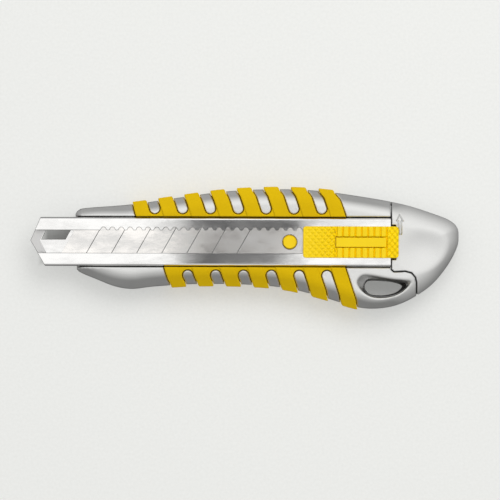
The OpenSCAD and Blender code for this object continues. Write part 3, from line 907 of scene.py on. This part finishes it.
def rear_cap(x, y, z):
    """The cap: dish, notch under the pad, engraved arrow, hollow, and the web in its joint."""
    web = (CAP_GAP - 0.03) * np.clip((1.5 - np.abs(z - MID_Z)) / 0.3, 0, 1)
    body = both(skin(x, y, z), CAP_AREA(x, y) - web, 0.25)
    u, v, w = (x - DISH_X) * 0.75, y - DISH_Y, z - (FACE_Z - DISH_DEPTH + DISH_R)
    dish = np.sqrt(u * u + v * v + w * w) - DISH_R
    body = without(body, dish, 1.2)
    notch = block(x, y, z, (50, AXIS_Y - 6.9, FACE_Z - 0.8), (NOTCH_END, AXIS_Y + 6.9, 40), 0.2)
    body = without(body, notch, 0.2)
    line = np.abs(ARROW(x - ARROW_X, y - ARROW_Y) + 0.16) - 0.22 + np.maximum(-body, 0) * 0.5
    body = without(body, line * 0.9 + 5 * (z < MID_Z))
    reach = np.maximum(x - 74, np.minimum(-7.2 - y, x - 64.2))
    room = both(skin(x, y, z) + CAP_WALL, reach, 0.2)
    sill = np.maximum(np.maximum(np.abs(z - MID_Z) - 1.4, y + 8.3), -1.2 - CAP_AREA(x, y))
    room = without(room, sill)
    return without(body, room, 0.1)


cap = carve("rear_cap_casting", rear_cap, cap_low, cap_high, CAP_CELL, CAST, RAW_AND_SHADE)
# The cap gets painted shade in its gaps and in its notch under the pad
finish(paint_hollow_shade(cap), "cap", "rear_cap")


# ---- Thumb pad ---------------------------------------------------------------------------


KNURL_PITCH = 2.51
FIRST_RIB, RIB_PITCH, RIB_H = 37.9, 2.5, 0.85
STRIP_X, STRIP_HALF_L, STRIP_HALF_W = 46.4, 10.3, 2.15
# Where the ribbed middle starts and ends, and the groove in front of it
MIDDLE_X, GROOVE_X = (36, 57.4), 36.15
PYRAMID_L, PYRAMID_W = 2.2, 2.45


def pad_top(x, y):
    """Height of the pad's top above its underside: knurls, ribs and the smooth strip."""
    height = pad_high[2] - pad_low[2]
    along = x - pad_low[0]
    across = y - AXIS_Y
    # Front: diamonds that grow towards the rear
    a = np.abs(((along + across) / KNURL_PITCH - 0.16) % 1 - 0.5) * 2
    b = np.abs(((along - across) / KNURL_PITCH + 0.07) % 1 - 0.5) * 2
    relief = 0.12 + 0.45 * np.clip(along / 12, 0, 1)
    front_top = height - 0.25 - relief * (1 - blend(np.minimum(a, b) * 1.2))
    # Middle: two rows of ribs beside a smooth strip with a line around it
    place = np.abs(((x - FIRST_RIB) / RIB_PITCH + 0.5) % 1 - 0.5) * RIB_PITCH
    land = blend((1.25 - place) / 0.45)
    rib_top = height - RIB_H + 0.8 * land - 0.06 * place**2
    inside = np.maximum(np.abs(across + 0.05) - STRIP_HALF_W, np.abs(x - STRIP_X) - STRIP_HALF_L)
    strip_top = height - 0.4 - 0.75 * blend(1 + inside / 0.4)
    middle = strip_top + (rib_top - strip_top) * blend(inside / 0.18 + 0.5)
    middle -= 0.3 * blend(1 - np.abs(inside) / 0.35)
    step = blend((x - MIDDLE_X[0]) / 0.3) * blend((MIDDLE_X[1] - x) / 0.3)
    # Rear: staggered pyramids
    u, v = (x - 57.7) / PYRAMID_L, across / PYRAMID_W
    row = np.abs((u + v) % 1 - 0.5) + np.abs((u - v) % 1 - 0.5)
    rear_top = height - RIB_H + 0.8 * np.clip(row * 1.15 - 0.15, 0, 1)
    ends = np.where(along < 20, front_top, rear_top)
    return ends + (middle - ends) * step - 0.5 * blend(1 - np.abs(x - GROOVE_X) / 0.45)


def thumb_pad(x, y, z):
    """The pad, hollow from below where it clips over the carrier."""
    high = (pad_high[0], pad_high[1], pad_high[2] + 3)
    body = block(x, y, z, pad_low, high, 1.2)
    top = (z - pad_low[2] - pad_top(x, y)) * 0.8
    body = both(body, top, 0.25)
    body = both(body, pad_low[2] - z, 0.15)
    room = block(x, y, z, (26.7, AXIS_Y - 4.2, 0), (55.3, AXIS_Y + 4.2, pad_low[2] + 2.1), 0.1)
    return without(body, room, 0.1)


pad = carve("thumb_pad_moulding", thumb_pad, pad_low, pad_high, PAD_CELL, PLASTIC)
finish(pad, "pad", "thumb_pad")


# ---- Steel and small pieces: CAD shapes with softened edges ------------------------------

REFINED = [
    ("blade_channel", "steel_channel", 0.8, CHANNEL_STEEL, "handle", "channel_steel"),
    ("snap_off_blade", "segmented_blade", 0.25, BLADE_STEEL, "carriage", "blade_steel"),
    ("blade_carrier", "carrier_moulding", 0.12, PLASTIC, "carriage", "slider_plastic"),
    ("lock_spring", "lock_leaf", 0.03, SPRING_STEEL, "carriage", "spring_steel"),
    ("channel_rivets", "flush_rivets", 0.05, SCREW_STEEL, "handle", "fastener_steel"),
    ("shell_screws", "shell_screw_set", 0.1, SCREW_STEEL, "handle", "fastener_steel"),
    ("magazine_tray", "spare_tray", 0.15, NYLON, "handle", "black_nylon"),
    ("spare_blades", "spare_blade_stack", 0.02, BLADE_STEEL, "handle", "blade_steel"),
    ("magazine_spring", "magazine_leaf", 0.03, SPRING_STEEL, "handle", "spring_steel"),
    ("cap_guide", "cap_guide_moulding", 0.1, NYLON, "cap", "black_nylon"),
    ("cap_screw", "cap_screw_part", 0.08, SCREW_STEEL, "cap", "fastener_steel"),
    ("cap_catch_spring", "catch_leaf", 0.03, SPRING_STEEL, "cap", "spring_steel"),
]
# Dark materials that paint shade on the rounded edges: the channel's folds and lips, and the
# blade's edges and the ring round its pin hole
EDGE_SHADES = {"blade_channel": EDGE_SHADE_STEEL, "snap_off_blade": SCORE_SHADE_STEEL}
steel = {
    name: finish(refined(node, name, bevel, material, EDGE_SHADES.get(node)), body, node)
    for node, name, bevel, material, body, slot in REFINED
}


def darken(ob, low, high):
    """Paints shade: gives the faces whose centres lie between two heights the dark edge
    material.
    """
    count = len(ob.data.polygons)
    centre, index = np.empty(count * 3, np.float32), np.empty(count, np.int32)
    ob.data.polygons.foreach_get("center", centre)
    ob.data.polygons.foreach_get("material_index", index)
    height = centre.reshape(-1, 3)[:, 2] / MM
    index[(height > low) & (height < high)] = 1
    ob.data.polygons.foreach_set("material_index", index)
    ob.data.update()


# The score lines' grooves start just below the blade's top; their faces get painted shade
SCORE_TOP, SCORE_FLOOR = 0.012, 0.15
blade_top = corners("snap_off_blade")[1][2]
darken(steel["segmented_blade"], blade_top - SCORE_FLOOR, blade_top - SCORE_TOP)


# ---- Floor, light and camera -------------------------------------------------------------


def plane(name, place, half, material, slant=0.0):
    """A flat card; slant is how far its +X end leans, from its middle to its corners."""
    quad = [(-half[0], -half[1], 0), (half[0] - slant, -half[1], 0),
            (half[0] + slant, half[1], 0), (-half[0], half[1], 0)]
    ob = new_mesh(name, quad, [[0, 1, 2, 3]], smooth=False)
    ob.location = place
    ob.data.materials.append(material)
    return ob


def under(m, low, high, soft):
    """1 on the floor well inside a rectangle, falling to 0 at its edges: the shape of a painted
    shadow.
    """
    split = m.add("ShaderNodeSeparateXYZ")
    m.link(m.place, "Object", split, "Vector")
    depth = None
    for axis, lo, hi in (("X", low[0], high[0]), ("Y", low[1], high[1])):
        off = m.math("ABSOLUTE", m.math("SUBTRACT", split.outputs[axis], (lo + hi) / 2 * MM))
        inner = m.math("SUBTRACT", (hi - lo) / 2 * MM, off)
        depth = inner if depth is None else m.math("MINIMUM", depth, inner)
    return m.math("MINIMUM", m.math("MAXIMUM", m.math("DIVIDE", depth, soft * MM), 0.0), 1.0)


FLOOR_HALF, FLOOR_DROP = 3, 0.00002
FLOOR_GLOW = 0.9
# Where the floor glows less, a painted shadow: below the channel's nose, and below the eye
NOSE_SHADOW_LOW = (channel_low[0] + 2.5, channel_low[1])
NOSE_SHADOW_HIGH = (-55, channel_high[1])
EYE_SHADOW_LOW, EYE_SHADOW_HIGH = (46, -21), (65, -10)


def floor():
    """Pale paper that glows a little, so that shadows stay soft, and glows less under the knife
    as a painted shadow.
    """
    m = Nodes("floor_paper")
    grain = m.noise(900, 4)
    tone = m.ramp(grain, "Fac", [(0.3, (0.45, 0.453, 0.442)), (0.7, (0.47, 0.473, 0.462))])
    m.link(tone, "Color", m.shader, "Base Color")
    m.link(tone, "Color", m.shader, "Emission Color")
    m.set(Roughness=0.8, Specular_IOR_Level=0.1)
    # Painted shadow: the glow is taken away below the nose and halved below the eye
    dark = m.math(
        "MAXIMUM",
        under(m, NOSE_SHADOW_LOW, NOSE_SHADOW_HIGH, 4),
        m.math("MULTIPLY", under(m, EYE_SHADOW_LOW, EYE_SHADOW_HIGH, 2), 0.5))
    m.tree.links.new(
        m.math("MULTIPLY", m.math("SUBTRACT", 1.0, dark), FLOOR_GLOW),
        m.shader.inputs["Emission Strength"])
    half = (FLOOR_HALF, FLOOR_HALF)
    ob = plane("floor", (0, 0, cad_box[0][2] - FLOOR_DROP), half, m.material)
    ob.visible_glossy = False


CARD_PLACE, CARD_HALF, CARD_SLANT = (-0.0027, 0.003, 0.3), (0.0258, 0.02), 0.012


def reflection_card():
    """A dim card over the middle, seen only in reflections, like a camera above the knife."""
    m = Nodes("card_grey")
    tone = m.noise(30, 2)
    m.link(m.ramp(tone, "Fac", [(0.3, 0.10), (0.7, 0.18)]), "Color", m.shader, "Emission Color")
    m.set(Emission_Strength=1.0, Base_Color=(0, 0, 0, 1), Roughness=1.0, Specular_IOR_Level=0.0)
    card = plane("card", CARD_PLACE, CARD_HALF, m.material, CARD_SLANT)
    card.visible_camera = card.visible_diffuse = card.visible_shadow = False
    card.visible_transmission = False


KEY_PLACE, KEY_SIZE, KEY_POWER = (0.2, 0.4, 0.75), 0.5, 2.8


def softbox(name, place, size, power):
    """A square light aimed at the origin that the metal doesn't mirror."""
    light = bpy.data.lights.new(name, "AREA")
    light.size = size
    light.energy = power
    ob = bpy.data.objects.new(name, light)
    ob.location = place
    ob.rotation_euler = (-Vector(place)).to_track_quat("-Z", "Y").to_euler()
    ob.visible_glossy = False
    bpy.context.scene.collection.objects.link(ob)


# The tent's brightness by height: 0 is the horizon and all below it, 1 is straight above
TENT = [
    (0.0, 0.22), (0.12, 0.24), (0.3, 0.30), (0.5, 0.48), (0.8, 0.8), (0.93, 0.95), (1.0, 1.1)]
# Its strength from the belly's side to the spine's
TENT_SIDES = {"From Min": -0.5, "From Max": 0.5, "To Min": 0.7, "To Max": 1.2}


def world():
    """A light tent: bright overhead, grey towards the horizon, darker on the belly's side."""
    w = bpy.data.worlds.new("studio")
    w.use_nodes = True
    nodes, links = w.node_tree.nodes, w.node_tree.links
    place = nodes.new("ShaderNodeTexCoord")
    split = nodes.new("ShaderNodeSeparateXYZ")
    ramp = nodes.new("ShaderNodeValToRGB")
    while len(ramp.color_ramp.elements) < len(TENT):
        ramp.color_ramp.elements.new(0.5)
    for e, (at, value) in zip(ramp.color_ramp.elements, TENT):
        e.position, e.color = at, (value, value, value * 0.99, 1)
    side = nodes.new("ShaderNodeMapRange")
    for name, value in TENT_SIDES.items():
        side.inputs[name].default_value = value
    links.new(place.outputs["Generated"], split.inputs[0])
    links.new(split.outputs["Z"], ramp.inputs[0])
    links.new(split.outputs["Y"], side.inputs["Value"])
    links.new(ramp.outputs[0], nodes["Background"].inputs["Color"])
    links.new(side.outputs[0], nodes["Background"].inputs["Strength"])
    bpy.context.scene.world = w


# Far away and narrow, so that there is almost no perspective, and turned very slightly
CAMERA_HEIGHT = 2.5
VIEW_WIDTH = 0.1994
SENSOR = 36
CAMERA_X, CAMERA_Y, CAMERA_TURN = 0.00215, -0.00072, 0.0028


def camera():
    """Looks straight down. VIEW_WIDTH is what it sees at the height of the handle's face."""
    cam = bpy.data.cameras.new("camera")
    cam.sensor_width = SENSOR
    cam.lens = SENSOR / 2 / (VIEW_WIDTH / 2 / CAMERA_HEIGHT)
    ob = bpy.data.objects.new("camera", cam)
    ob.location = (CAMERA_X, CAMERA_Y, CAMERA_HEIGHT + FACE_Z * MM)
    ob.rotation_euler = (0, 0, CAMERA_TURN)
    bpy.context.scene.collection.objects.link(ob)
    bpy.context.scene.camera = ob


floor()
reflection_card()
world()
softbox("key", KEY_PLACE, KEY_SIZE, KEY_POWER)
camera()
bpy.context.scene.view_settings.view_transform = "Standard"
